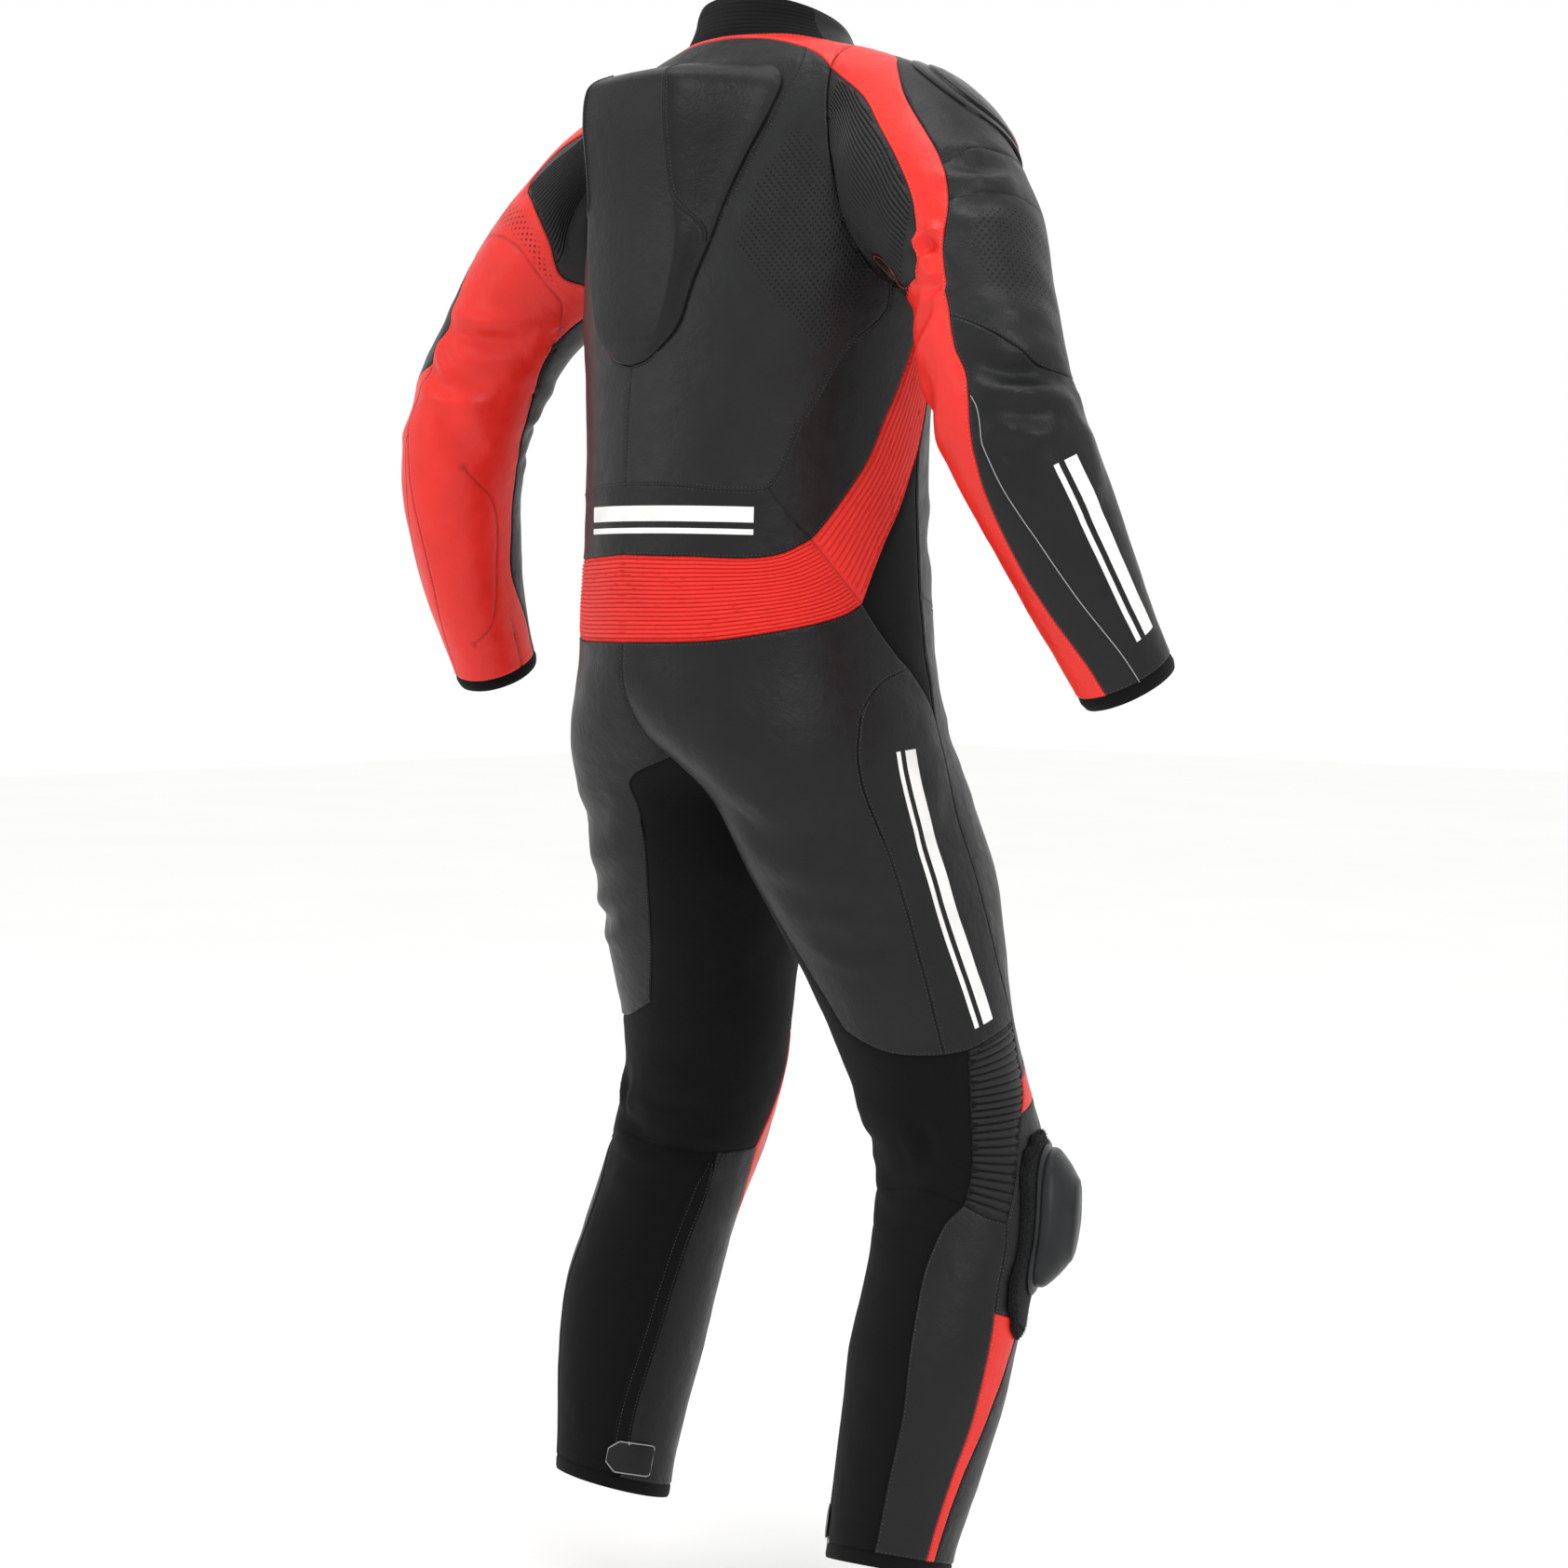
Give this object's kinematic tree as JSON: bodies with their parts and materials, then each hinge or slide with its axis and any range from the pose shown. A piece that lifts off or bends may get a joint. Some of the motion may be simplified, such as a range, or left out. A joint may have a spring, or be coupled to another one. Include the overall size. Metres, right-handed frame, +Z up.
{
  "type": "one-piece motorcycle racing suit",
  "caption": "Worn, hollow one-piece leather motorcycle racing suit with a hump on the back, ribbed stretch panels, knee sliders and shoulder plates, open at neck, cuffs and hems.",
  "frame": {"origin": "the middle of the neck opening, where the wearer's neck holds the suit, 1.500 m above the wearer's floor", "axes": "+Z up, +X to the wearer's left, +Y to the wearer's back"},
  "size_m": [0.9506, 0.3507, 1.4428],
  "materials": {
    "black_leather": "pebbled, soft sheen",
    "red_leather": "smooth, soft sheen",
    "red_stretch": "ribbed stretch leather, matt",
    "black_stretch": "stretch cloth, matt",
    "black_plastic": "satin to gloss",
    "hook_tape": "hook tape, matt"
  },
  "bodies": {
    "root": {"back_band": "black_leather", "back_l": "black_leather", "back_r": "black_leather", "blade_l": "black_stretch", "blade_r": "black_stretch", "calf_l": "black_stretch", "calf_r": "black_stretch", "calf_side_l": "black_leather", "calf_side_r": "black_leather", "collar": "black_stretch", "cuff_l": "black_stretch", "cuff_r": "black_stretch", "forearm_l": "red_leather", "forearm_r": "black_leather", "front_l": "black_leather", "front_r": "black_leather", "front_thigh_l": "black_leather", "front_thigh_r": "black_leather", "front_zip": "black_stretch", "hem_l": "black_stretch", "hem_r": "black_stretch", "hip_strip_l": "black_leather", "hip_strip_r": "black_leather", "hump": "black_leather", "inner_leg_l": "black_stretch", "inner_leg_r": "black_stretch", "knee_band_l": "red_leather", "knee_band_r": "red_leather", "knee_cup_l": "black_leather", "knee_cup_r": "black_leather", "knee_ribs_l": "black_stretch", "knee_ribs_r": "black_stretch", "knee_slider_l": "black_plastic", "knee_slider_r": "black_plastic", "lumbar": "red_stretch", "seat_l": "black_leather", "seat_r": "black_leather", "shin_l": "black_leather", "shin_r": "black_leather", "shin_strip_l": "red_leather", "shin_strip_r": "red_leather", "shoulder_plate_l": "black_plastic", "shoulder_plate_r": "black_plastic", "side_l": "black_stretch", "side_r": "black_stretch", "sleeve_cap_l": "black_leather", "sleeve_cap_r": "black_leather", "sleeve_front_l": "black_leather", "sleeve_front_r": "black_leather", "sleeve_under_l": "red_leather", "sleeve_under_r": "red_leather", "slider_base_l": "hook_tape", "slider_base_r": "hook_tape", "upper_back": "black_leather", "upper_sleeve_l": "black_leather", "upper_sleeve_r": "black_leather", "wing_l": "red_stretch", "wing_r": "red_stretch", "yoke": "red_leather"}
  },
  "joints": []
}
